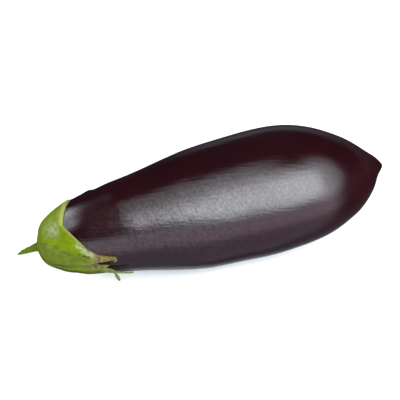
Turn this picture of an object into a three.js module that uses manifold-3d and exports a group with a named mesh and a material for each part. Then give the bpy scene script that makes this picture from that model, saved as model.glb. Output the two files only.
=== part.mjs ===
// A fresh eggplant, picked with a torn stub of stem, lying on its belly.
// Millimetres. +X runs from the stem end to the blossom end, +Z is up, and z = 0 is the table.
// The origin is the middle of the small flat spot that the fruit rests on.
import * as THREE from "three";
import { NURBSCurve } from "three/addons/curves/NURBSCurve.js";
import { mergeVertices } from "three/addons/utils/BufferGeometryUtils.js";
import Module from "manifold-3d";

const wasm = await Module();
wasm.setup();

// ---- Driving dimensions ----

// The fruit's outline, from the stem end to the blossom end: how far along the axis, the radius there,
// and how far the middle of the fruit has bent off the straight axis. The curve leans on these points
// and does not pass through them. The slope eases off at the end of the neck, near 50.
const FRUIT_OUTLINE = [
  { along: 2.5, radius: 0, bend: 0 },
  { along: 2.5, radius: 9, bend: 0 },
  { along: 9, radius: 15, bend: 0 },
  { along: 22, radius: 21.5, bend: 0 },
  { along: 38.5, radius: 24.82, bend: 0.1 },
  { along: 46.5, radius: 26.92, bend: 0.25 },
  { along: 54.5, radius: 28.12, bend: 0.25 },
  { along: 66, radius: 30.28, bend: 0.3 },
  { along: 80, radius: 33.5, bend: 0.5 },
  { along: 98, radius: 37, bend: 1 },
  { along: 116, radius: 37.5, bend: 2 },
  { along: 136, radius: 39, bend: 2.5 },
  { along: 156, radius: 38, bend: 3.5 },
  { along: 174, radius: 34.15, bend: 2.5 },
  { along: 188, radius: 27, bend: 2.1 },
  { along: 196.7, radius: 21.95, bend: 1.7 },
  { along: 205.2, radius: 14.15, bend: 1.6 },
  { along: 208.6, radius: 10.75, bend: 2.1 },
  { along: 210.5, radius: 8.6, bend: 2.8 },
  { along: 212.9, radius: 5.8, bend: 3.2 },
  { along: 214.7, radius: 3.2, bend: 3.4 },
  { along: 216.3, radius: 0.75, bend: 3.4 },
  { along: 216.5, radius: 0, bend: 3.6 },
];
// The skin sinks beside the blossom scar, on the near underside: how far in, against how far along.
const SCAR_SINK = [
  { along: 180, sink: 0 },
  { along: 204, sink: 0 },
  { along: 208.6, sink: 1.2 },
  { along: 210.5, sink: 2 },
  { along: 212.9, sink: 1.5 },
  { along: 214.7, sink: 0.6 },
  { along: 216, sink: 0 },
  { along: 220, sink: 0 },
];
const SINK_TOWARDS = -49; // degrees round the axis; the other side runs straight into the scar
const BEND_TOWARDS = 135; // degrees round the axis: up, and over to the far side

const REST_TILT = 2.5; // degrees that the blossom end rises as it lies
const FLAT_DEPTH = 0.8; // what its own weight presses flat
const BALANCE = 113; // how far along the axis the flat spot is centred
const TABLE_BLOCK = 400; // the block below the table that trims the flat spot

const CLEARANCE = 0.3; // between touching pieces

const CALYX_THICK = 2.2; // at the stem
const CALYX_RIM_THICK = 1.2;
const CALYX_SINUS = 23; // how far the cap covers the skin where it has no lobe
const LOBE_BLEND = 5; // how tightly two lobes meet
// Each lobe's place round the fruit in degrees, how far its tip covers the skin, how many degrees to
// either side it spreads, and how much it is drawn out to a point: the more over 1, the narrower.
const CALYX_LOBES = [
  { turn: -30, reach: 53, spread: 105, point: 1.45 },
  { turn: -89, reach: 58, spread: 75, point: 1.8 },
  { turn: -147, reach: 50, spread: 75, point: 1.8 },
  { turn: 165, reach: 50, spread: 60, point: 2.2 },
  { turn: 128, reach: 32.2, spread: 75, point: 1.5 },
];
// The near lobe is torn off short: in the middle of the tear it reaches this far, and to either side
// the torn edge runs out by the easing times the square of the degrees.
const TORN = { turn: -20, reach: 46, easing: 0.006 };

const STEM_LENGTH = 13;
const STEM_OUTLINE = [
  { out: 0, radius: 3.2 },
  { out: 1, radius: 2.6 },
  { out: 4, radius: 2.2 },
  { out: 8, radius: 1.8 },
  { out: 11, radius: 1.1 },
  { out: STEM_LENGTH, radius: 0.25 },
];
const STEM_OFFSET = 1.3; // the stub stands this far off the fruit's axis, towards the droop
const STEM_DROOP = 2; // and its tip hangs this much lower again
const DROOP_TOWARDS = -50; // degrees round the axis: down, and to the near side
const STEM_RIDGES = 5;
const RIDGE_SHARE = 0.07; // of the radius

const OUTLINE_STEPS = 56;
const FRUIT_SIDES = 64;
const CALYX_STEPS = 14;
const CALYX_SIDES = 72;
const STEM_STEPS = 14;
const STEM_SIDES = 30;

// ---- The fruit's surface, which the calyx follows ----

const radians = THREE.MathUtils.degToRad;

// A turn of 0 faces the near side (-Y), 90 is the top and 180 is the far side.
function direction(turn) {
  return new THREE.Vector3(0, -Math.cos(radians(turn)), Math.sin(radians(turn)));
}

function turnOf(y, z) {
  return THREE.MathUtils.radToDeg(Math.atan2(z, -y));
}

// A smooth curve pulled towards its points, that starts at the first one and ends at the last one.
function smoothCurve(points) {
  const degree = 3;
  const spans = points.length - degree;
  const knots = [];
  for (let i = -degree; i <= spans + degree; i++) {
    knots.push(THREE.MathUtils.clamp(i, 0, spans));
  }
  return new NURBSCurve(degree, knots, points);
}

const outline = smoothCurve(
  FRUIT_OUTLINE.map((p) => new THREE.Vector4(p.along, p.radius, p.bend, 1)),
);
const outlineLength = outline.getLength();
const sinkCurve = smoothCurve(SCAR_SINK.map((p) => new THREE.Vector4(p.along, p.sink, 0, 1)));
const sinks = sinkCurve.getPoints(200);

function sinkAt(along, turn) {
  const next = sinks.findIndex((p) => p.x > along);
  const deepest = next < 1 ? 0 : sinks[next].y;
  return deepest * (0.5 + 0.5 * Math.cos(radians(turn - SINK_TOWARDS)));
}

// The point of the skin that lies a distance over it from the stem end, raised off it by a height.
function overSkin(distance, turn, height) {
  const share = distance / outlineLength;
  const on = outline.getPointAt(share);
  const heading = outline.getTangentAt(share);
  const along = on.x - height * heading.y;
  const radius = Math.max(0, on.y + height * heading.x);
  const bend = direction(BEND_TOWARDS).multiplyScalar(on.z);
  return direction(turn).multiplyScalar(radius).add(bend).setX(along);
}

// ---- Solids ----

function solidFrom(geometry) {
  const bare = geometry.clone();
  bare.deleteAttribute("normal");
  bare.deleteAttribute("uv");
  const merged = mergeVertices(bare, 1e-4);
  return new wasm.Manifold(
    new wasm.Mesh({
      numProp: 3,
      vertProperties: merged.attributes.position.array,
      triVerts: new Uint32Array(merged.index.array),
    }),
  );
}

function geometryFrom(solid) {
  const mesh = solid.getMesh();
  const geometry = new THREE.BufferGeometry();
  geometry.setAttribute("position", new THREE.BufferAttribute(mesh.vertProperties, 3));
  geometry.setIndex(new THREE.BufferAttribute(mesh.triVerts, 1));
  geometry.computeVertexNormals();
  return geometry;
}

// Turns a lathe about Y into one about X, then sends each of its points where place says.
function shapedLathe(profile, sides, place) {
  const geometry = new THREE.LatheGeometry(profile, sides).rotateZ(-Math.PI / 2);
  const points = geometry.attributes.position;
  for (let i = 0; i < points.count; i++) {
    const turn = turnOf(points.getY(i), points.getZ(i));
    const spot = place(points.getX(i), Math.hypot(points.getY(i), points.getZ(i)), turn);
    points.setXYZ(i, spot.x, spot.y, spot.z);
  }
  return geometry;
}

// ---- The pieces, on a level axis that starts at the stem's foot ----

function fruitShape() {
  const profile = [];
  const bends = new Map();
  for (const p of outline.getSpacedPoints(OUTLINE_STEPS)) {
    const radius = profile.length === 0 || profile.length === OUTLINE_STEPS ? 0 : p.y;
    profile.push(new THREE.Vector2(radius, p.x));
    bends.set(Math.fround(p.x), p.z);
  }
  return shapedLathe(profile, FRUIT_SIDES, (along, radius, turn) => {
    const bend = bends.get(Math.fround(along)) ?? 0;
    return direction(turn)
      .multiplyScalar(Math.max(0, radius - sinkAt(along, turn)))
      .addScaledVector(direction(BEND_TOWARDS), bend)
      .setX(along);
  });
}

function degreesApart(turn, other) {
  return Math.abs(THREE.MathUtils.euclideanModulo(turn - other + 180, 360) - 180);
}

// How far the cap reaches over the skin at a turn: lobes rise out of an even edge.
function calyxReach(turn) {
  let sum = 0;
  for (const lobe of CALYX_LOBES) {
    const share = Math.max(0, 1 - degreesApart(turn, lobe.turn) / lobe.spread);
    sum += ((lobe.reach - CALYX_SINUS) * share ** lobe.point) ** LOBE_BLEND;
  }
  const whole = CALYX_SINUS + sum ** (1 / LOBE_BLEND);
  return Math.min(whole, TORN.reach + TORN.easing * degreesApart(turn, TORN.turn) ** 2);
}

// A lathe of a plain washer, whose radius is the share of the way to the edge and whose two faces
// are the cap's inside and outside.
function calyxShape() {
  const profile = [];
  for (let i = 0; i <= CALYX_STEPS; i++) {
    profile.push(new THREE.Vector2(i / CALYX_STEPS, 1));
  }
  profile.push(new THREE.Vector2(1.02, 0.5));
  for (let i = CALYX_STEPS; i >= 0; i--) {
    profile.push(new THREE.Vector2(i / CALYX_STEPS, 0));
  }
  return shapedLathe(profile, CALYX_SIDES, (side, share, turn) => {
    const thick = THREE.MathUtils.lerp(CALYX_THICK, CALYX_RIM_THICK, Math.min(1, share));
    return overSkin(share * calyxReach(turn), turn, CLEARANCE + side * thick);
  });
}

function stemShape() {
  const taper = smoothCurve(STEM_OUTLINE.map((p) => new THREE.Vector4(p.out, p.radius, 0, 1)));
  const profile = [new THREE.Vector2(0, -CLEARANCE - STEM_LENGTH)];
  for (const p of taper.getSpacedPoints(STEM_STEPS).reverse()) {
    profile.push(new THREE.Vector2(p.y, -CLEARANCE - p.x));
  }
  profile.push(new THREE.Vector2(0, -CLEARANCE));
  const droopWay = direction(DROOP_TOWARDS);
  return shapedLathe(profile, STEM_SIDES, (along, radius, turn) => {
    const out = (-along - CLEARANCE) / STEM_LENGTH;
    const ridge = 1 + RIDGE_SHARE * Math.cos(STEM_RIDGES * radians(turn));
    return direction(turn)
      .multiplyScalar(radius * ridge)
      .addScaledVector(droopWay, STEM_OFFSET + STEM_DROOP * out * out)
      .setX(along);
  });
}

// ---- Lay it down: tilt it, press its flat spot into the table, and centre it there ----

const fruit = fruitShape();
const lie = new THREE.Matrix4().makeRotationY(-radians(REST_TILT));
const lowest = new THREE.Box3().setFromBufferAttribute(
  fruit.clone().applyMatrix4(lie).attributes.position,
).min.z;
lie.premultiply(
  new THREE.Matrix4().makeTranslation(
    -BALANCE * Math.cos(radians(REST_TILT)),
    0,
    -lowest - FLAT_DEPTH,
  ),
);

const belowTable = new THREE.BoxGeometry(TABLE_BLOCK, TABLE_BLOCK, TABLE_BLOCK).translate(
  0,
  0,
  -TABLE_BLOCK / 2,
);
const lyingFruit = geometryFrom(
  solidFrom(fruit.applyMatrix4(lie)).subtract(solidFrom(belowTable)),
);

// ---- The scene graph ----

const skin = new THREE.MeshStandardMaterial({ color: 0x2a1319, roughness: 0.22, metalness: 0 });
const capGreen = new THREE.MeshStandardMaterial({ color: 0x7b9434, roughness: 0.45, metalness: 0 });
const stemGreen = new THREE.MeshStandardMaterial({ color: 0x68802a, roughness: 0.6, metalness: 0 });

const eggplant = new THREE.Group();
function addPiece(name, geometry, material) {
  const mesh = new THREE.Mesh(geometry, material);
  mesh.name = name;
  eggplant.add(mesh);
}
addPiece("fruit", lyingFruit, skin);
addPiece("calyx", calyxShape().applyMatrix4(lie), capGreen);
addPiece("stem", stemShape().applyMatrix4(lie), stemGreen);

export default eggplant;
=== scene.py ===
# A purple eggplant lying on a table: the fruit, the green calyx that caps it, and the stub of its stem.
# Everything is in metres in the part's own frame: the fruit lies along X with its stem end at -X, it rests
# on its flat spot at the origin, and Z is up. "Turn" is the angle round the fruit's core: 0 faces -Y and 90
# is up. "Distance" is measured in mm over the skin from the stem end.
import math

import bpy
import numpy as np
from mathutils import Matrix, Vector, noise


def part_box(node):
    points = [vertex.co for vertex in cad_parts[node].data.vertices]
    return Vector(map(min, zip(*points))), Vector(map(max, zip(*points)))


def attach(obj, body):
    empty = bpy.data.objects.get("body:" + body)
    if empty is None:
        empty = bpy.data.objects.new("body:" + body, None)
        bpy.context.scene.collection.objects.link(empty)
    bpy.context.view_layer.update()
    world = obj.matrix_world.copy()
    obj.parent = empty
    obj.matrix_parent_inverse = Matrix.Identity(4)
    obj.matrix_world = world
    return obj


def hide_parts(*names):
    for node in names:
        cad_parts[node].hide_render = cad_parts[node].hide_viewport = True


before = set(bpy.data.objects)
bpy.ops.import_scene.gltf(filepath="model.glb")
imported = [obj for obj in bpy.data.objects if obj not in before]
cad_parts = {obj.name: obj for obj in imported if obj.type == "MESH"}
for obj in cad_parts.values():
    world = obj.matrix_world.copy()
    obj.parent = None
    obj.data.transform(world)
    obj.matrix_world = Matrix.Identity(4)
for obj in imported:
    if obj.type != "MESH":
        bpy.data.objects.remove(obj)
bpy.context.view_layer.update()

MM = 0.001

# ---- The fruit ------------------------------------------------------------------------------------
# One swollen berry, grown whole from the flower: a slim neck under the calyx, a full belly, and a small
# pointed scar where the blossom dropped off. The skin is taut, hairless and waxy, purple to nearly black.

# Along the core, radius, how far the core bends aside, and how far the near side sinks beside the scar (mm).
FRUIT_OUTLINE = [
    (2.5, 0, 0, 0), (2.5, 9, 0, 0), (9, 15, 0, 0), (22, 21.5, 0, 0), (38.5, 24.82, 0.1, 0),
    (46.5, 26.92, 0.25, 0), (54.5, 28.12, 0.25, 0), (66, 30.28, 0.3, 0), (80, 33.5, 0.5, 0), (98, 37, 1, 0),
    (116, 37.5, 2, 0), (136, 39, 2.5, 0), (156, 38, 3.5, 0), (174, 34.15, 2.5, 0), (188, 27.0, 2.1, -0.3),
    (196.7, 21.95, 1.7, -0.2), (205.2, 14.15, 1.6, 0.1), (208.6, 10.75, 2.1, 1.2), (210.5, 8.6, 2.8, 2.0),
    (212.9, 5.8, 3.2, 1.5), (214.7, 3.2, 3.4, 0.6), (216.3, 0.75, 3.4, 0), (216.5, 0, 3.6, 0),
]
BEND_TOWARDS = 135.0      # the core bends up and to the far side
SCAR_TOWARDS = 131.0      # the outline runs straight into the scar on this side, and sinks on the other
REST_TILT = 2.5           # degrees: the neck is slimmer than the belly, so the stem end lies lower
FLAT_DEPTH = 0.8          # how deep the belly flattens on the table (mm)
OUTLINE_STEPS = 1600
FRUIT_RINGS, FRUIT_SIDES = 380, 220


def grown_curve(points, count):
    """Points along the even cubic curve that control points pull on, starting and ending on the outer two."""
    points = np.array(points, float)
    spans = len(points) - 3
    knots = np.concatenate([[0] * 3, np.arange(spans + 1), [spans] * 3])
    at = np.linspace(0, spans - 1e-9, count)[:, None]
    share = ((knots[:-1] <= at) & (at < knots[1:])).astype(float)
    for degree in (1, 2, 3):
        start, end = knots[: -degree - 1], knots[degree:-1]
        start_next, end_next = knots[1:-degree], knots[degree + 1 :]
        rise = (at - start) / np.where(end > start, end - start, 1)
        fall = (end_next - at) / np.where(end_next > start_next, end_next - start_next, 1)
        share = rise * share[:, :-1] + fall * share[:, 1:]
    return share @ points


core, radius, bend, sink = grown_curve(FRUIT_OUTLINE, OUTLINE_STEPS).T
steps = np.hypot(np.diff(core), np.diff(radius))
skin_length = np.concatenate([[0], np.cumsum(steps)])
core_rate = np.gradient(core, skin_length)
radius_rate = np.gradient(radius, skin_length)


def upright(distance, turn, height=0.0):
    """Places by the skin in mm, before the fruit is laid down: distance over the skin from the stem end,
    turn round the core in degrees, and height above the skin."""
    distance, turn, height = np.broadcast_arrays(distance, np.asarray(turn, float), height)
    along, thick, bent, sinking, along_rate, thick_rate = [
        np.interp(distance, skin_length, v) for v in (core, radius, bend, sink, core_rate, radius_rate)]
    sunk = sinking * (0.5 - 0.5 * np.cos(np.radians(turn - SCAR_TOWARDS)))
    out = thick - sunk + height * along_rate
    round_core, aside = np.radians(turn), math.radians(BEND_TOWARDS)
    return np.stack([
        along - height * thick_rate,
        -np.cos(round_core) * out - math.cos(aside) * bent,
        np.sin(round_core) * out + math.sin(aside) * bent,
    ], axis=-1)


def tilted(places):
    """Turns places by the resting tilt, blossom end up."""
    x, y, z = np.moveaxis(places, -1, 0)
    cos, sin = math.cos(math.radians(REST_TILT)), math.sin(math.radians(REST_TILT))
    return np.stack([x * cos - z * sin, y, x * sin + z * cos], axis=-1)


ring_distance = np.linspace(0, skin_length[-1], FRUIT_RINGS + 1)[1:-1, None]
side_turn = np.arange(FRUIT_SIDES)[None, :] * 360 / FRUIT_SIDES
before_laying = tilted(upright(ring_distance, side_turn))
laid_shift = np.array([
    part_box("fruit")[0].x / MM - before_laying[..., 0].min(), 0, -before_laying[..., 2].min() - FLAT_DEPTH])


def over_skin(distance, turn, height=0.0):
    """The places that upright gives, on the fruit as it lies, in metres."""
    return (tilted(upright(distance, turn, height)) + laid_shift) * MM


def uneven(places, size, seed):
    """Smooth random values from -1 to 1 at places in metres, with bumps about size mm across."""
    flat = places.reshape(-1, 3) / (size * MM)
    shift = Vector((seed * 7.3, seed * 3.1, seed * 5.7))
    return np.array([noise.noise(Vector(p) + shift) for p in flat]).reshape(places.shape[:-1])


def closed_skin(name, rings, first_tip, last_tip):
    """A mesh of rings of places joined round and along, closed with a tip point at either end."""
    rows, sides = rings.shape[:2]
    vertices = rings.reshape(-1, 3).tolist()
    faces = []
    for r in range(rows - 1):
        for s in range(sides):
            n = (s + 1) % sides
            faces.append((r * sides + s, r * sides + n, (r + 1) * sides + n, (r + 1) * sides + s))
    for tip, row in ((first_tip, 0), (last_tip, rows - 1)):
        vertices.append(list(tip))
        for s in range(sides):
            pair = (row * sides + (s + 1) % sides, row * sides + s)
            faces.append((len(vertices) - 1,) + (pair if row == 0 else pair[::-1]))
    mesh = bpy.data.meshes.new(name)
    mesh.from_pydata(vertices, [], faces)
    mesh.update()
    mesh.polygons.foreach_set("use_smooth", [True] * len(mesh.polygons))
    piece = bpy.data.objects.new(name, mesh)
    bpy.context.scene.collection.objects.link(piece)
    return piece


def ease(value, start, end):
    """Goes smoothly from 0 at start to 1 at end."""
    t = np.clip((np.asarray(value, float) - start) / (end - start), 0, 1)
    return t * t * (3 - 2 * t)


def bump_at(value, middle, width):
    """A smooth hump of height 1 round a middle value."""
    return np.exp(-(((value - middle) / width) ** 2))


def away_from(turn, middle):
    """How many degrees a turn lies from another, from -180 to 180."""
    return (turn - middle + 180) % 360 - 180


# The skin swells and dips a little between the veins of flesh under it.
skin_at = over_skin(ring_distance, side_turn)
swells = 0.04 * uneven(skin_at, 34, 1) + 0.015 * uneven(skin_at, 11, 2)
# The neck has a low shoulder on its near upper side, which rises in two steps and runs out into the belly.
SHOULDER_TURN = 44.0
shoulder = 0.18 * ease(ring_distance, 39, 50) + 0.34 * ease(ring_distance, 53, 67)
shoulder = shoulder * ease(-ring_distance, -104, -68)
swells += shoulder * bump_at(away_from(side_turn, SHOULDER_TURN), 0, 36)
# A low blister has formed in the shade of the calyx on the far upper side, and ends in a small sharp lip.
BLISTER_TURN = 133.0
from_blister = away_from(side_turn, BLISTER_TURN)
swells += 0.45 * ease(ring_distance, 27, 38) * ease(-ring_distance, -48, -42) * bump_at(from_blister, 0, 17)
blister_lip = 0.65 * ease(ring_distance, 39, 45.4) * ease(-ring_distance, -47.4, -45.9)
swells += blister_lip * bump_at(from_blister, 0, 7)
fruit_rings = over_skin(ring_distance, side_turn, swells)
fruit_rings[..., 2] = np.maximum(fruit_rings[..., 2], 0)
fruit = closed_skin("eggplant_fruit", fruit_rings, over_skin(0, 0), over_skin(skin_length[-1], 0))


def value_on(piece, name, values):
    """Keeps a number at every vertex of a piece, for its material to read."""
    kept = piece.data.attributes.new(name, "FLOAT", "POINT")
    full = np.zeros(len(piece.data.vertices), np.float32)
    full[: values.size] = values.ravel()
    kept.data.foreach_set("value", full)


def vector_on(piece, name, values):
    """Keeps a direction or place at every vertex of a piece, for its material to read."""
    kept = piece.data.attributes.new(name, "FLOAT_VECTOR", "POINT")
    full = np.zeros((len(piece.data.vertices), 3), np.float32)
    full[: values.size // 3] = values.reshape(-1, 3)
    kept.data.foreach_set("vector", full.ravel())


# The grain of the skin winds slowly round the fruit as it grew: place along the skin and round a drum, in mm.
GRAIN_TWIST = 0.35        # degrees of winding for each mm along
GRAIN_DRUM = 38           # radius of the drum (mm)
wound = np.radians(side_turn + GRAIN_TWIST * ring_distance)
grain = np.stack([ring_distance + 0 * wound, GRAIN_DRUM * np.cos(wound), GRAIN_DRUM * np.sin(wound)], axis=-1)
vector_on(fruit, "grain", grain)
value_on(fruit, "to_blossom", np.clip(ring_distance / skin_length[-1] + 0 * side_turn, 0, 1))


def colour(hex_code):
    """A colour written as on a screen, such as 2a1319, turned to the linear values that light adds up in."""
    parts = [int(hex_code[i : i + 2], 16) / 255 for i in (0, 2, 4)]
    return tuple(p / 12.92 if p <= 0.04045 else ((p + 0.055) / 1.055) ** 2.4 for p in parts) + (1.0,)


def node(tree, kind, inputs=(), stops=(), **settings):
    """Adds a shader node. Each input is (name or number, value or another node's output)."""
    made = tree.nodes.new("ShaderNode" + kind)
    for name, value in settings.items():
        setattr(made, name, value)
    for name, value in inputs:
        if isinstance(value, bpy.types.NodeSocket):
            tree.links.new(value, made.inputs[name])
        else:
            made.inputs[name].default_value = value
    for i, (place, tone) in enumerate(stops):
        stop = made.color_ramp.elements[i] if i < 2 else made.color_ramp.elements.new(place)
        stop.position, stop.color = place, tone
    return made


def tones(tree, share, stops):
    """A colour that changes with a share, from stops of (place, screen colour or linear tone)."""
    stops = [(place, colour(tone) if isinstance(tone, str) else tone) for place, tone in stops]
    return node(tree, "ValToRGB", [("Fac", share)], stops).outputs["Color"]


def blended(tree, share, under, over, way="MIX"):
    """Two colours blended by a share."""
    return node(tree, "Mix", [("Factor", share), (6, under), (7, over)], data_type="RGBA",
                blend_type=way).outputs[2]


def speckle(tree, places, scale, detail, roughness=0.5):
    """Smooth noise round 0.5 at places, with features about 1 / scale across."""
    return node(tree, "TexNoise", [("Vector", places), ("Scale", scale), ("Detail", detail),
                                   ("Roughness", roughness)]).outputs["Fac"]


def ranged(tree, value, start, end, low, high, **settings):
    """A value brought from the range start to end into the range low to high."""
    return node(tree, "MapRange", [("Value", value), ("From Min", start), ("From Max", end),
                                   ("To Min", low), ("To Max", high)], **settings).outputs["Result"]


def counted(tree, operation, *values):
    """The result of one step of arithmetic."""
    return node(tree, "Math", list(enumerate(values)), operation=operation).outputs["Value"]


def bumped(tree, height, depth, strength, under=None):
    """The direction of a surface that a height lifts by up to depth metres, over the bumps under it."""
    inputs = [("Height", height), ("Distance", depth), ("Strength", strength)]
    return node(tree, "Bump", inputs + ([("Normal", under)] if under else [])).outputs["Normal"]


# Waxy eggplant skin, grown, unpolished. The thin wax makes it glossy with a soft, slightly streaked edge to
# each highlight, over a purple so deep that it reads as black, and redder towards the blossom end.
waxy_skin = bpy.data.materials.new("waxy_eggplant_skin")
waxy_skin.use_nodes = True
tree = waxy_skin.node_tree
shader = tree.nodes["Principled BSDF"]
grain_at = node(tree, "Attribute", attribute_name="grain").outputs["Vector"]
blossom = node(tree, "Attribute", attribute_name="to_blossom").outputs["Fac"]
base_tone = tones(tree, blossom, [(0.0, "170609"), (0.55, "170609"), (0.8, "1a060a"), (0.92, "1d0609"),
                                  (1.0, "190608")])
# The purple is a little uneven, in clouds about 16 mm across.
cloud = speckle(tree, grain_at, 1 / 16, 3.0)
cloud_tone = tones(tree, cloud, [(0.3, (0.82, 0.82, 0.86, 1)), (0.7, (1.12, 1.08, 1.06, 1))])
tree.links.new(blended(tree, 1.0, base_tone, cloud_tone, "MULTIPLY"), shader.inputs["Base Color"])
# Growth streaks, about 1 mm wide and 7 mm long, along the grain.
streak_at = node(tree, "Mapping", [("Vector", grain_at), ("Scale", (1 / 6, 1, 1))]).outputs["Vector"]
streak = speckle(tree, streak_at, 0.9, 4.0, 0.6)
pores = speckle(tree, grain_at, 1.1, 3.0, 0.6)
# The bloom of wax lies in fine flecks and faint slanting wipe marks, so each highlight is mottled, most at
# the neck.
WIPE_SLANT = math.radians(-24)
wipe_at = node(tree, "Mapping", [("Vector", grain_at), ("Rotation", (0, 0, WIPE_SLANT)),
                                 ("Scale", (0.9, 7, 7))], vector_type="TEXTURE").outputs["Vector"]
wipes = speckle(tree, wipe_at, 1.0, 4.0, 0.7)
fine = speckle(tree, grain_at, 1 / 1.5, 3.0, 0.8)
flecks = counted(tree, "MULTIPLY_ADD", wipes, 0.6, fine)
least_wax = ranged(tree, blossom, 0.22, 0.7, 0.12, 0.38)
most_wax = counted(tree, "SUBTRACT", 1.0, least_wax)
tree.links.new(ranged(tree, flecks, 0.5, 1.1, least_wax, most_wax), shader.inputs["Specular IOR Level"])
tree.links.new(ranged(tree, streak, 0.3, 0.7, 0.09, 0.15), shader.inputs["Roughness"])
# Wider streaks, 2 mm by 15 mm, where the skin was drawn out as the fruit swelled.
drawn_at = node(tree, "Mapping", [("Vector", grain_at), ("Scale", (1 / 15, 1 / 2, 1 / 2))]).outputs["Vector"]
drawn = speckle(tree, drawn_at, 1.0, 2.0)
skin_bump = bumped(tree, drawn, 0.09 * MM, 1.0)
skin_bump = bumped(tree, streak, 0.06 * MM, 1.0, skin_bump)
skin_bump = bumped(tree, pores, 0.035 * MM, 1.0, skin_bump)
tree.links.new(skin_bump, shader.inputs["Normal"])
shader.inputs["IOR"].default_value = 1.5

fruit.data.materials.append(waxy_skin)
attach(fruit, "root")
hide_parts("fruit")

# ---- The calyx ------------------------------------------------------------------------------------
# The leathery green cap of the flower, grown onto the fruit: a dome with a wide bay on the near side and five
# lobes pressed to the skin, one of them short. The near lobe has dried and torn into strips, and one strip
# stands off the skin.

CALYX_BAY = 23.0          # from the stem over the skin to the rim between two lobes (mm)
CALYX_LOBES = [           # turn, reach (mm), half its spread, pointedness
    (-30, 53, 105, 1.45), (-89, 58, 75, 1.8), (-147, 50, 75, 1.8), (165, 50, 60, 2.2), (128, 32.2, 75, 1.5)]
LOBE_BLEND = 5
TORN_END = [              # turn, and how far the near lobe still reaches there (mm), with a slit at -9
    (-60, 60), (-50, 47), (-40, 46.5), (-24, 44.8), (-21, 44), (-19.5, 45.4), (-14.8, 46.3), (-13.4, 45),
    (-12.6, 41), (-6.8, 39.6), (-6.1, 46.0), (-5.2, 47.0), (-4, 48.6), (-3.2, 50.4), (2, 51), (2.6, 49.4),
    (4.5, 45), (7, 41.2), (12, 38.3), (16.5, 36.5), (20.5, 34.8), (60, 34.8)]
TORN_TURNS = (-6.4, 17)   # the turns between which the torn end, not the lobe's own edge, sets the reach
RIM_ROUND = 0.7           # width of the rounded edge (mm)
RIM_PER_DEGREE = 0.45     # about how long the rim is for each degree of turn (mm)
LOWER_TURN = -50          # where the lower side of the cap has its middle
LEAF_THICK = 1.25         # before the swellings that are added to it (mm)
LEAF_GAP = 0.05           # between the skin and the underside of the leaf (mm)
LEAF_DRUM = 24            # radius of the drum that the grain of the leaf is laid round (mm)
VEIN_STRETCH = 4          # how much longer than wide the crinkles of the leaf are
CALYX_SIDES, CALYX_ROWS = 560, 125
INNER_STEP = 10           # the underside takes every tenth row only


def calyx_reach(turn):
    """How far the calyx reaches over the skin at each turn, in mm."""
    lobes = 0
    for middle, reach, spread, point in CALYX_LOBES:
        inside = np.clip(1 - np.abs(away_from(turn, middle)) / spread, 0, None)
        lobes = lobes + ((reach - CALYX_BAY) * inside**point) ** LOBE_BLEND
    whole = CALYX_BAY + lobes ** (1 / LOBE_BLEND)
    ragged = uneven(np.stack([turn * RIM_PER_DEGREE * MM, 0 * turn, 0 * turn], axis=-1), 1.3, 5)
    torn = np.interp(away_from(turn, 0), *np.transpose(TORN_END)) + 0.5 * ragged
    all_torn = (away_from(turn, 0) > TORN_TURNS[0]) & (away_from(turn, 0) < TORN_TURNS[1])
    return np.where(all_torn, torn, np.minimum(whole, torn)) + 0.2 * ragged


# The rows of the leaf lie closer together towards its rim.
column_turn = np.arange(CALYX_SIDES)[None, :] * 360 / CALYX_SIDES
reach = calyx_reach(column_turn)
share = 1 - (1 - np.linspace(0.02, 1, CALYX_ROWS)[:, None]) ** 1.4
distance = share * reach
calyx_turn = column_turn + 0 * distance
calyx_away = away_from(calyx_turn, 0)
round_mm = np.radians(1) * np.interp(distance, skin_length, radius)
rim_slope = np.gradient(np.concatenate([reach, reach], axis=1)[0])[:CALYX_SIDES] / (360 / CALYX_SIDES)
from_rim = (reach - distance) / np.sqrt(1 + (rim_slope[None, :] / np.maximum(round_mm, 0.05)) ** 2)

leaf_at = over_skin(distance, calyx_turn)
# How dry the leaf is: the torn end of the near lobe, apart from its lowest part, and the tips of the others.
near_dry = ease(distance + 1.8 * uneven(leaf_at, 2.5, 7) - 0.2 * (calyx_away + 8), 34.3, 38)
near_dry = near_dry * ease(calyx_away, -22, -16) * ease(-calyx_away, -24, -10)
# Its rim has dried to a tan band as well.
tan_band = ease(distance, 30.5, 35) * np.exp(-from_rim / 1.8)
tan_band = tan_band * ease(calyx_away, -10, 0) * ease(-calyx_away, -30, -20)
near_dry = np.maximum(near_dry, 0.9 * tan_band)
tip_dry = ease(distance, 47, 56) * ease(np.abs(away_from(calyx_turn, -5)), 40, 55)
dry = np.clip(near_dry + tip_dry, 0, 1)

# A crest runs from the stem to the near lobe, and the leaf is thicker below it, with a duller tone there that
# is painted shade.
crest_turn = np.maximum(40.5 - 1.86 * (distance - 13.8), -6)
from_crest = away_from(calyx_turn, crest_turn)
below = ease(-from_crest, -2, 6) * ease(-calyx_away, -140, -100)
lower_side = ease(np.cos(np.radians(calyx_turn - LOWER_TURN)), -0.6, 0.7)
# It is thickest round the stem and on its lower side, and thins towards its edge and where it is dry.
thick = LEAF_THICK + 0.5 * lower_side + 0.55 * below * bump_at(distance, 20, 14)
thick = thick + 1.1 * bump_at(distance, 0, 7)
thick = thick * (1 - 0.35 * ease(distance, 30, 55) - 0.3 * lower_side * ease(distance, 20, 30))
thick = thick + (0.5 + 0.6 * lower_side) * bump_at(distance, 9, 6)
thick = thick * (1 - 0.45 * near_dry) + 0.9 * bump_at(distance, 0, 4.5)
ribs = 0.28 * bump_at(from_crest, 0, 7) * ease(distance, 8, 14)
# A crease runs low along the cap, where its edge turns under the fruit.
crease_turn = -19 - 2.5 * uneven(np.stack([distance, 0 * distance, 0 * distance], axis=-1) * MM, 5, 15)
ribs -= 0.5 * bump_at(calyx_away, crease_turn, 3.5) * ease(distance, 4, 9) * ease(-distance, -33, -24)
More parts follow.
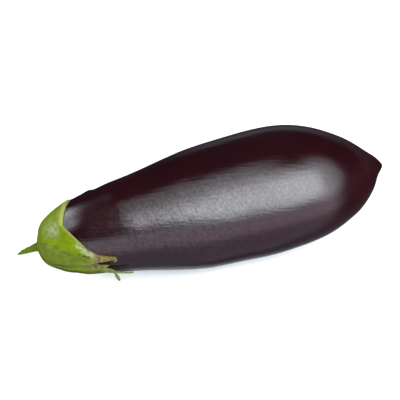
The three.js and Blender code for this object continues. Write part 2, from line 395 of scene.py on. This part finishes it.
# A fold with a furrow above it runs on from the crease to the tear.
folds = 0.4 * bump_at(calyx_turn, 360 - 24, 4) - 0.45 * bump_at(calyx_turn, 360 - 16, 2.4)
ribs += folds * ease(distance, 16, 26)
# Each of the other three full lobes has a rib of its own.
for middle in (-89, -147, 165):
    ribs += 0.35 * bump_at(away_from(calyx_turn, middle), 0, 5) * ease(distance, 10, 20)
round_drum = [LEAF_DRUM * np.cos(np.radians(calyx_turn)), LEAF_DRUM * np.sin(np.radians(calyx_turn))]
leaf_long = np.stack([distance / VEIN_STRETCH] + round_drum, axis=-1) * MM
crinkle = 0.14 * uneven(leaf_long, 3.2, 3) + 0.06 * uneven(leaf_at, 1.6, 4)
crinkle = crinkle + (0.2 + 0.25 * lower_side) * uneven(leaf_at, 8, 6)
rounded = np.sqrt(1 - (1 - np.clip(from_rim / RIM_ROUND, 0, 1)) ** 2)
# The tips of the hidden lobes have dried and lift off the skin a little.
lift = 1.2 * ease(distance, 46, 60)
leaf_top = 2 * LEAF_GAP + (thick + ribs + crinkle) * rounded + lift
leaf_under = np.minimum(LEAF_GAP + lift, leaf_top - LEAF_GAP)

outer = over_skin(distance, calyx_turn, leaf_top)
inner = over_skin(distance, calyx_turn, leaf_under)[::-INNER_STEP]
leaf_rings = np.concatenate([outer, inner[:-1]])
under_tip, top_tip = over_skin(0.2, 0, 0.1), over_skin(0, 0, 2.4)
calyx = closed_skin("eggplant_calyx", leaf_rings[::-1], under_tip, top_tip)


def with_inner(values):
    """Values for the outer rows, carried on to the inner rows, in the order of the mesh."""
    return np.concatenate([values, values[::-INNER_STEP][:-1]])[::-1]


pale_band = 0.8 * np.exp(-((from_rim / 2.4) ** 2)) * ease(calyx_away, 60, 72) * ease(-calyx_away, -130, -115)
rim = np.maximum(np.exp(-from_rim / 0.5), pale_band)
# The lower side of the cap is darkened as painted shade, and so is the crease along it; a row of dark spots
# lies under the scuffed edge.
spots = 0
for spot_distance, spot_turn, strength in ((30.2, 13.0, 0.45), (33.0, 9.0, 0.8), (34.9, 6.2, 0.8)):
    spots = spots + strength * bump_at(distance, spot_distance, 1.0) * bump_at(calyx_away, spot_turn, 2.2)
# Painted shade: darker towards the lower side of the cap.
underside = 0.45 * ease(-calyx_away, 18, 40) * ease(calyx_away, -150, -100)
# Painted shade in the crease.
crease = 0.55 * bump_at(calyx_away, crease_turn, 2.6) * ease(distance, 4, 9) * ease(-distance, -30, -16)
spots_and_painted_shade = np.maximum(np.maximum(spots, underside), crease)
# The strip left standing is yellower, and the lobe is scuffed along its upper edge.
yellowed = ease(distance, 41, 44) * ease(calyx_away, -9, -6) * ease(-calyx_away, -8, -5)
scuffs_and_painted_sheen = bump_at(calyx_away, 15 - 2.1 * (distance - 34.5), 5.2)
scuffs_and_painted_sheen = scuffs_and_painted_sheen * ease(distance, 27, 33) * ease(-distance, -39.5, -37)
scuffs_and_painted_sheen = np.clip(scuffs_and_painted_sheen * (1.15 + 1.6 * uneven(leaf_at, 1.5, 11)), 0, 1)
# Worn smooth, and so glossy: a patch on the shoulder of the dome.
smooth = 0.22 + 0.85 * bump_at(distance, 18.5, 3) * bump_at(calyx_away, 58, 16)
smooth = smooth * ease(distance, 8, 12) * ease(-distance - 0.05 * (calyx_away - 60), -21.8, -20.0)
smooth = smooth * ease(calyx_away + 0.8 * (distance - 16), 44, 53) * ease(-calyx_away, -105, -70)
smooth = np.clip(smooth * (1.0 + 1.3 * uneven(leaf_at, 1.8, 12)), 0, 1)
for name, values in (("dry", dry), ("rim", rim), ("below", below), ("spots_and_painted_shade", spots_and_painted_shade),
                     ("yellowed", yellowed), ("scuffs_and_painted_sheen", scuffs_and_painted_sheen), ("smooth", smooth)):
    value_on(calyx, name, with_inner(values))
vector_on(calyx, "leaf_grain", with_inner(leaf_long / MM * np.array([VEIN_STRETCH, 1, 1])))

STRIP_STEPS, STRIP_SIDES = 40, 14
STRIP_DRUM = 10           # radius of the drum that the grain of a strip is laid round (mm)


def strip(name, path, dryness=(0.0, 0.0), yellowed=0.0, spots_and_painted_shade=0.0, scuffs_and_painted_sheen=0.0):
    """A torn strip of leaf, as rings of a flat oval along a path. Each point of the path is distance, turn,
    height, half width and half thickness, in mm and degrees. The dryness is that of its two ends."""
    line = grown_curve(path, STRIP_STEPS)
    middle = over_skin(line[:, 0], line[:, 1], line[:, 2])
    ahead = np.gradient(middle, axis=0)
    ahead /= np.linalg.norm(ahead, axis=1)[:, None]
    outward = over_skin(line[:, 0], line[:, 1], line[:, 2] + 1) - middle
    outward /= np.linalg.norm(outward, axis=1)[:, None]
    sideways = np.cross(ahead, outward)
    sideways /= np.linalg.norm(sideways, axis=1)[:, None]
    outward = np.cross(sideways, ahead)
    angle = np.arange(STRIP_SIDES) * 2 * math.pi / STRIP_SIDES
    wide, deep = line[:, 3, None, None] * MM, line[:, 4, None, None] * MM
    ragged = 1 + 0.25 * uneven(middle, 2.0, 8)[:, None, None]
    rings = middle[:, None] + sideways[:, None] * np.cos(angle)[None, :, None] * wide * ragged
    rings = rings + outward[:, None] * np.sin(angle)[None, :, None] * deep
    piece = closed_skin(name, rings, rings[0].mean(axis=0), rings[-1].mean(axis=0))
    along = np.linspace(0, 1, STRIP_STEPS)[:, None] + 0 * angle[None, :]
    value_on(piece, "dry", dryness[0] + (dryness[1] - dryness[0]) * along)
    for kind, value in (("rim", 0), ("below", 1), ("scuffs_and_painted_sheen", scuffs_and_painted_sheen), ("yellowed", yellowed),
                        ("spots_and_painted_shade", spots_and_painted_shade), ("smooth", 0)):
        value_on(piece, kind, value + 0 * along)
    round_drum = [STRIP_DRUM * np.cos(angle) + 0 * along, STRIP_DRUM * np.sin(angle) + 0 * along]
    vector_on(piece, "leaf_grain", np.stack([line[:, :1] + 0 * along] + round_drum, axis=-1))
    return piece


torn_strips = [
    # the hook at the end of the standing strip
    strip("strip_hook", [(49.6, 2.0, 0.6, 0.8, 0.5), (50.0, 0.5, 0.8, 0.9, 0.55),
                         (50.3, -1.5, 0.8, 0.9, 0.55), (50.2, -3.5, 0.8, 0.9, 0.5),
                         (49.9, -5, 0.7, 0.8, 0.5), (49.6, -6.2, 0.6, 0.5, 0.4)],
          dryness=(0.8, 0.6), yellowed=0.9),
    # a dark strip on the skin in the slit, painted shade for the gap under the torn leaf
    strip("slit_painted_shade", [(38, -9, 0.05, 1.3, 0.25), (41, -9.2, 0.1, 1.4, 0.3), (44, -9.5, 0.1, 1.4, 0.3),
                         (47, -9.8, 0.05, 0.9, 0.2)], dryness=(1.0, 1.0), spots_and_painted_shade=0.93),
    # the green strip that has sprung off the skin
    strip("strip_sprung", [(42, -21, 0.6, 1.0, 0.6), (44.5, -22.5, 0.9, 1.1, 0.6),
                           (47.5, -23, 1.2, 1.0, 0.55), (49.2, -24.5, 2.0, 1.0, 0.5),
                           (50.2, -29, 3.0, 1.0, 0.5), (51.4, -35, 4.0, 1.1, 0.5),
                           (52.3, -40.5, 4.9, 1.0, 0.45), (52.6, -43, 5.3, 0.6, 0.4)],
          dryness=(0.2, 0.0), yellowed=0.1, scuffs_and_painted_sheen=0.25),
    # the narrow dark green sliver, darkened nearly to black partly as painted shade, and the pale one along
    # the underside
    strip("strip_sliver", [(41, -21, 0.5, 0.8, 0.4), (45, -21.5, 0.6, 0.8, 0.4), (51, -20.5, 0.5, 0.6, 0.35),
                           (58, -16.5, 0.3, 0.1, 0.12)], spots_and_painted_shade=0.85),
    # its paleness is partly a painted reflection of the table
    strip("strip_under", [(42, -33, 0.5, 1.6, 0.6), (48, -36, 0.8, 1.4, 0.6), (54, -39.5, 0.8, 1.2, 0.6),
                          (59, -43.5, 0.8, 1.0, 0.5), (61, -45.5, 0.7, 0.4, 0.4)],
          dryness=(0.05, 0.1), scuffs_and_painted_sheen=0.35),
]
with bpy.context.temp_override(active_object=calyx, selected_editable_objects=[calyx] + torn_strips):
    bpy.ops.object.join()

# Eggplant calyx, a leathery leaf with a thin natural gloss: fresh green on the upper side, a duller olive
# below the crest as painted shade, a pale cut-like rim, brown papery parts where it dried, and fine veins
# along each lobe.
leather_leaf = bpy.data.materials.new("leathery_calyx_leaf")
leather_leaf.use_nodes = True
tree = leather_leaf.node_tree
shader = tree.nodes["Principled BSDF"]
leaf_grain = node(tree, "Attribute", attribute_name="leaf_grain").outputs["Vector"]
dry_at, rim_at, below_at, scuff_and_sheen_at, yellow_at, smooth_at, dark_at = [
    node(tree, "Attribute", attribute_name=name).outputs["Fac"]
    for name in ("dry", "rim", "below", "scuffs_and_painted_sheen", "yellowed", "smooth", "spots_and_painted_shade")]
blotch = speckle(tree, leaf_grain, 1 / 4, 5.0, 0.65)
upper_tone = tones(tree, blotch, [(0.35, "415005"), (0.65, "54610b")])
# The duller olive below the crest is painted shade.
lower_tone = tones(tree, blotch, [(0.35, "3c4712"), (0.65, "505a1d")])
leaf_tone = blended(tree, below_at, upper_tone, lower_tone)
# Paler, greyer green where scuffed; on the strip along the underside this paleness is partly a painted
# reflection of the table.
leaf_tone = blended(tree, scuff_and_sheen_at, leaf_tone, colour("707948"))
leaf_tone = blended(tree, rim_at, leaf_tone, colour("7c7f45"))
crumbs = speckle(tree, leaf_grain, 1 / 1.6, 4.0, 0.7)
papery = tones(tree, crumbs, [(0.32, "281f16"), (0.47, "4b402e"), (0.7, "736b4c")])
leaf_tone = blended(tree, dry_at, leaf_tone, papery)
olive = tones(tree, crumbs, [(0.35, "3d3318"), (0.65, "6b6233")])
leaf_tone = blended(tree, yellow_at, leaf_tone, olive)
brown_edge = counted(tree, "MULTIPLY", rim_at, dry_at)
leaf_tone = blended(tree, brown_edge, leaf_tone, colour("46381f"))
# Dark spots, and painted shade on the lower side, in the crease, in the slit and on the sliver, darken the
# leaf.
shade = counted(tree, "SUBTRACT", 1.0, dark_at)
leaf_tone = blended(tree, 1.0, leaf_tone, shade, "MULTIPLY")
tree.links.new(leaf_tone, shader.inputs["Base Color"])
tree.links.new(ranged(tree, dry_at, 0.0, 1.0, 0.38, 0.8), shader.inputs["Roughness"])
gloss = counted(tree, "MAXIMUM", smooth_at, scuff_and_sheen_at)
tree.links.new(ranged(tree, gloss, 0.0, 1.0, 0.02, 0.8), shader.inputs["Specular IOR Level"])
vein_at = node(tree, "Mapping", [("Vector", leaf_grain), ("Scale", (1 / 8, 1, 1))]).outputs["Vector"]
veins = speckle(tree, vein_at, 1.0, 4.0, 0.6)
leaf_bump = bumped(tree, veins, 0.12 * MM, 0.8)
leaf_bump = bumped(tree, crumbs, 0.3 * MM, 0.6, leaf_bump)
tree.links.new(leaf_bump, shader.inputs["Normal"])
shader.inputs["IOR"].default_value = 1.45

calyx.data.materials.clear()
calyx.data.materials.append(leather_leaf)
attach(calyx, "root")
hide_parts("calyx")

# ---- The stem -------------------------------------------------------------------------------------
# The stub of the stalk that held the fruit, woody and ribbed. It was torn off rather than cut, so it thins
# in small steps on its upper edge to a ragged point.

STEM_PATH = [   # out from the calyx, radius, drop towards the near underside, in mm
    (-2.0, 4.4, 1.1), (-0.6, 3.3, 1.2), (0.8, 2.35, 1.5), (3, 2.1, 1.8), (6, 1.95, 2.1), (9, 1.6, 2.5),
    (11.5, 1.0, 3.0), (13.0, 0.2, 3.3)]
STEM_DROP_TURN = math.radians(-50.0)
STEM_LONG, STEM_GAP = 13.0, 0.3
STEM_RIBS, RIB_SHARE, RIB_TWIST = 5, 0.10, 6    # how many, share of the radius, degrees for each mm out
TEAR_TURN = 120                                 # the upper edge, which the steps are torn out of
STEM_SIDES, STEM_ROWS = 60, 70
TORN_STEPS = ((4.6, 0.35), (7.6, 0.35), (10.2, 0.3))    # out from the calyx, and depth, in mm

stem_out, stem_radius, stem_drop = grown_curve(STEM_PATH, STEM_ROWS).T
stem_angle = np.arange(STEM_SIDES)[None, :] * 360 / STEM_SIDES
rib = 1 + RIB_SHARE * np.cos(np.radians(STEM_RIBS * stem_angle + RIB_TWIST * stem_out[:, None]))
upper = ease(np.cos(np.radians(stem_angle - TEAR_TURN)), 0.2, 0.9)
torn_step = np.zeros_like(stem_out)
for step_at, step_depth in TORN_STEPS:
    drops, refills = ease(stem_out, step_at - 0.3, step_at + 0.3), ease(stem_out, step_at + 0.3, step_at + 3)
    torn_step += step_depth * (drops - refills)
stem_round = stem_radius[:, None] * rib - upper * torn_step[:, None] * ease(stem_radius, 0.3, 1.2)[:, None]
stem_places = np.stack([
    -stem_out[:, None] - STEM_GAP + 0 * stem_round,
    -np.cos(np.radians(stem_angle)) * stem_round - math.cos(STEM_DROP_TURN) * stem_drop[:, None],
    np.sin(np.radians(stem_angle)) * stem_round + math.sin(STEM_DROP_TURN) * stem_drop[:, None],
], axis=-1)
stem_rings = (tilted(stem_places) + laid_shift) * MM
stem_rings = stem_rings + 0.12 * MM * uneven(stem_rings, 1.4, 9)[..., None]
stem = closed_skin("eggplant_stem", stem_rings[::-1], stem_rings[-1].mean(axis=0), stem_rings[0].mean(axis=0))
value_on(stem, "to_tip", (stem_out[:, None] / STEM_LONG + 0 * stem_angle)[::-1])

# Green eggplant stalk, woody: matt, in darker and paler fibres along its length, and drier at the torn tip.
woody_stalk = bpy.data.materials.new("woody_green_stalk")
woody_stalk.use_nodes = True
tree = woody_stalk.node_tree
shader = tree.nodes["Principled BSDF"]
place_at = node(tree, "TexCoord").outputs["Object"]
fibre_size = (1 / (6 * MM), 1 / (0.7 * MM), 1 / (0.7 * MM))
fibre_at = node(tree, "Mapping", [("Vector", place_at), ("Scale", fibre_size)]).outputs["Vector"]
fibres = speckle(tree, fibre_at, 1.0, 3.0)
stalk_tone = tones(tree, fibres, [(0.3, "2f3f03"), (0.7, "4a5607")])
tip_at = node(tree, "Attribute", attribute_name="to_tip").outputs["Fac"]
stalk_tone = blended(tree, ranged(tree, tip_at, 0.75, 1.0, 0.0, 1.0), stalk_tone, colour("3c3a1c"))
tree.links.new(stalk_tone, shader.inputs["Base Color"])
tree.links.new(bumped(tree, fibres, 0.2 * MM, 0.8), shader.inputs["Normal"])
shader.inputs["Roughness"].default_value = 0.6
shader.inputs["Specular IOR Level"].default_value = 0.04

stem.data.materials.append(woody_stalk)
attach(stem, "root")
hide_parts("stem")

# ---- The table, the light and the camera ----------------------------------------------------------
# A plain white table top that runs into a pale backdrop all round. It is lit by a large softbox at the front
# right, with a wider cloth, its flap and a side cloth round it, and by a window-like panel and a weak fill at
# the left.

BOARD_HALF = 4.0
board_places = [(x * BOARD_HALF, y * BOARD_HALF, 0) for x, y in ((-1, -1), (1, -1), (1, 1), (-1, 1))]
board_mesh = bpy.data.meshes.new("table_top")
board_mesh.from_pydata(board_places, [], [(0, 1, 2, 3)])
table_top = bpy.data.objects.new("table_top", board_mesh)
WALL_SIDES, WALL_TALL, WALL_ROUND = 64, 2.5, 0.97 * BOARD_HALF
wall_angles = [i * math.tau / WALL_SIDES for i in range(WALL_SIDES)]
wall_places = [(WALL_ROUND * math.cos(angle), WALL_ROUND * math.sin(angle), z)
               for z in (0, WALL_TALL) for angle in wall_angles]
wall_next = [(i, (i + 1) % WALL_SIDES) for i in range(WALL_SIDES)]
wall_faces = [(here, after, after + WALL_SIDES, here + WALL_SIDES) for here, after in wall_next]
wall_mesh = bpy.data.meshes.new("backdrop")
wall_mesh.from_pydata(wall_places, [], wall_faces)
backdrop = bpy.data.objects.new("backdrop", wall_mesh)

# Matt white board, lit a little from within like a light table, so that shadows on it stay soft and pale.
matt_board = bpy.data.materials.new("matt_white_board")
matt_board.use_nodes = True
tree = matt_board.node_tree
shader = tree.nodes["Principled BSDF"]
shader.inputs["Base Color"].default_value = colour("e0e0de")
shader.inputs["Roughness"].default_value = 0.9
shader.inputs["Specular IOR Level"].default_value = 0.1
shader.inputs["Emission Color"].default_value = (1, 1, 1, 1)
board_at = node(tree, "TexCoord").outputs["Object"]
from_middle = node(tree, "VectorMath", [(0, board_at)], operation="LENGTH").outputs["Value"]
inner_light = ranged(tree, from_middle, 0.3, 1.8, 0.12, 0.85, interpolation_type="SMOOTHSTEP")
tree.links.new(inner_light, shader.inputs["Emission Strength"])
for board in (table_top, backdrop):
    bpy.context.scene.collection.objects.link(board)
    board.data.materials.append(matt_board)
    board.visible_glossy = False      # the skin mirrors the dim room rather than the board
backdrop.visible_diffuse = backdrop.visible_shadow = False

FRUIT_MIDDLE = Vector((0, 0, 0.039))
LAMP_TINT = (0.94, 1.0, 1.05)
EVEN = [(0.0, 1.0), (1.0, 1.0)]
# Name, azimuth, height angle, distance, shift to its right and up, width, height, brightness, and how the
# brightness changes across and up its cloth.
LAMPS = (
    ("softbox", 12, 45, 1.1, 0.077, -0.21, 1.343, 1.78, 9.0,
     [(0.0, 0.5), (0.06, 0.63), (0.2, 0.66), (0.37, 0.68), (0.6, 0.93), (0.72, 1.06), (0.82, 1.1),
      (0.88, 1.0), (0.94, 0.72), (1.0, 0.3)],
     [(0.0, 0.1), (0.12, 0.4), (0.18, 0.65), (0.3, 0.9), (0.4, 1.0), (0.6, 0.97), (0.68, 0.84), (0.74, 0.66),
      (0.8, 0.4), (0.87, 0.25), (1.0, 0.0)]),
    ("overhead_cloth", 12, 45, 1.12, -0.062, 0.31, 1.064, 2.41, 2.7,
     [(0.0, 1.0), (0.57, 1.0), (0.77, 0.5), (1.0, 0.0)],
     [(0.0, 0.0), (0.1, 0.4), (0.23, 1.0), (0.65, 1.0), (0.79, 0.85), (0.88, 0.5), (1.0, 0.1)]),
    ("overhead_flap", 12, 45, 1.16, -0.47, 1.86, 0.30, 1.22, 2.1,
     [(0.0, 1.0), (0.6, 0.9), (1.0, 0.1)], [(0.0, 0.3), (0.15, 0.9), (0.5, 0.7), (1.0, 0.1)]),
    ("side_cloth", 12, 45, 1.14, 1.15, -0.20, 1.12, 2.33, 4.3,
     [(0.0, 0.0), (0.1, 0.35), (0.25, 1.0), (0.5, 0.7), (1.0, 0.25)],
     [(0.0, 0.2), (0.2, 0.5), (0.34, 1.0), (0.6, 0.95), (0.73, 0.82), (0.88, 0.4), (1.0, 0.07)]),
    ("left_window", -118, 35, 1.2, 0.18, -0.12, 1.92, 1.44, 5.7,
     [(0.0, 0.12), (0.03, 0.45), (0.1, 0.65), (0.15, 0.95), (0.25, 1.15), (0.32, 0.95), (0.4, 0.62),
      (0.5, 0.66), (0.6, 0.85), (0.66, 0.75), (0.7, 0.5), (0.85, 0.17), (1.0, 0.04)],
     [(0.0, 0.4), (0.3, 1.0), (0.9, 1.0), (1.0, 0.7)]),
    ("left_fill", -118, 25, 1.3, 0.0, 0.0, 1.6, 1.0, 3.5, EVEN, EVEN),
)
# The lower left corner of the softbox is shaded aslant, and a blind hangs aslant in the window. Each shade
# has a way across the cloth, and the places along it where the cloth is dark and where it is clear.
SLANTED_SHADES = {"softbox": ((2.2, 3.0, 0), 0.98, 1.6), "left_window": ((-0.6, 1, 0), 0.72, 0.5)}
OUT_OF_THE_GLOSS = ("left_fill",)      # it lights the leaf and the table, but the skin does not mirror it


def grey_steps(steps):
    """Stops of a grey that changes, from steps of (place, brightness)."""
    return [(place, (v, v, v, 1)) for place, v in steps]


def way_out(azimuth, height):
    """The direction from the fruit that lies at an azimuth and a height angle."""
    flat = math.cos(math.radians(height))
    return Vector((math.sin(math.radians(azimuth)) * flat, -math.cos(math.radians(azimuth)) * flat,
                   math.sin(math.radians(height))))


def dotted(tree, vector, other):
    """How far a vector reaches along another."""
    return node(tree, "VectorMath", [(0, vector), (1, other)], operation="DOT_PRODUCT").outputs["Value"]


for name, azimuth, height, away, right, rise, width, tall, glow, across, upward in LAMPS:
    lamp = bpy.data.lights.new(name, "AREA")
    lamp.shape, lamp.size, lamp.size_y = "RECTANGLE", width, tall
    lamp.energy = glow * math.pi * width * tall
    lamp.color = LAMP_TINT
    lamp.use_nodes = True
    tree = lamp.node_tree
    cloth_at = node(tree, "NewGeometry").outputs["Parametric"]
    on_cloth = node(tree, "SeparateXYZ", [("Vector", cloth_at)])
    fade_across = tones(tree, on_cloth.outputs["X"], grey_steps(across))
    fade_upward = tones(tree, on_cloth.outputs["Y"], grey_steps(upward))
    fade = counted(tree, "MULTIPLY", fade_across, fade_upward)
    if name in SLANTED_SHADES:
        slant, dark, clear = SLANTED_SHADES[name]
        lit = ranged(tree, dotted(tree, cloth_at, slant), dark, clear, 0.0, 1.0)
        fade = counted(tree, "MULTIPLY", fade, lit)
    tree.links.new(fade, tree.nodes["Emission"].inputs["Strength"])
    stand = bpy.data.objects.new(name, lamp)
    back = way_out(azimuth, height)
    facing = back.to_track_quat("Z", "Y")
    stand.location = FRUIT_MIDDLE + back * away + facing @ Vector((right, rise, 0))
    stand.rotation_euler = facing.to_euler()
    stand.visible_camera = False
    stand.visible_glossy = name not in OUT_OF_THE_GLOSS
    bpy.context.scene.collection.objects.link(stand)

# The room as the skin mirrors it: a pale table running off to the front with a warm wooden strip across it,
# dim behind and dark above.
room = bpy.data.worlds.new("studio_room")
bpy.context.scene.world = room
room.use_nodes = True
tree = room.node_tree
facing = node(tree, "TexCoord").outputs["Generated"]
up = node(tree, "SeparateXYZ", [("Vector", facing)]).outputs["Z"]
up_share = ranged(tree, up, -1.0, 1.0, 0.0, 1.0)
in_front = tones(tree, up_share, [(place, (r, g, b, 1)) for place, r, g, b in (
    (0.0, 0.22, 0.25, 0.3), (0.03, 0.36, 0.4, 0.48), (0.1, 0.5, 0.46, 0.56), (0.2, 0.58, 0.62, 0.76),
    (0.235, 0.75, 0.8, 0.98), (0.29, 1.6, 1.25, 1.45), (0.33, 1.95, 1.45, 1.68), (0.37, 1.85, 1.6, 1.85),
    (0.42, 1.7, 1.65, 1.86), (0.49, 1.75, 1.7, 1.92), (0.57, 1.75, 1.93, 2.25), (0.6, 1.14, 1.3, 1.56),
    (0.63, 0.62, 0.7, 0.84), (0.66, 0.18, 0.2, 0.24), (0.69, 0.04, 0.05, 0.06), (1.0, 0.03, 0.03, 0.04))])
behind = tones(tree, up_share, [(place, (0.9 * v, v, 1.15 * v, 1)) for place, v in (
    (0.0, 0.3), (0.04, 0.43), (0.11, 0.27), (0.155, 0.24), (0.2, 0.12), (0.275, 0.05), (0.425, 0.06),
    (0.475, 0.2), (0.57, 0.2), (0.61, 0.03), (1.0, 0.02))])
level = node(tree, "VectorMath", [(0, facing), (1, (1, 1, 0))], operation="MULTIPLY").outputs["Vector"]
level = node(tree, "VectorMath", [(0, level)], operation="NORMALIZE").outputs["Vector"]
front_way = dotted(tree, level, (0.05, -1.0, 0.0))
front_share = ranged(tree, front_way, 0.45, 0.8, 0.0, 1.0, interpolation_type="SMOOTHSTEP")
# Behind, it is brightest a little to the right of the middle, and nearly dark to the left.
right_way = node(tree, "SeparateXYZ", [("Vector", level)]).outputs["X"]
right_share = tones(tree, right_way, grey_steps([
    (0.0, 0.1), (0.15, 1.25), (0.4, 1.25), (0.7, 0.5), (1.0, 0.3)]))
behind = blended(tree, 1.0, behind, right_share, "MULTIPLY")
tree.links.new(blended(tree, front_share, behind, in_front), tree.nodes["Background"].inputs["Color"])

CAMERA_AZIMUTH, CAMERA_HEIGHT, CAMERA_AWAY = -15.42, 40.0, 0.700
LOOKED_AT = Vector((-0.0146, 0, 0.0426))
FIELD_WIDE = 238.92 * MM      # what the frame's width takes in at the fruit
SENSOR_WIDE = 36.0
back = way_out(CAMERA_AZIMUTH, CAMERA_HEIGHT)
lens = bpy.data.cameras.new("camera")
lens.sensor_width = SENSOR_WIDE
lens.lens = SENSOR_WIDE * CAMERA_AWAY / FIELD_WIDE
camera = bpy.data.objects.new("camera", lens)
camera.location = LOOKED_AT + back * CAMERA_AWAY
camera.rotation_euler = back.to_track_quat("Z", "Y").to_euler()
bpy.context.scene.collection.objects.link(camera)
bpy.context.scene.camera = camera
bpy.context.scene.view_settings.view_transform = "Standard"

bpy.context.view_layer.update()
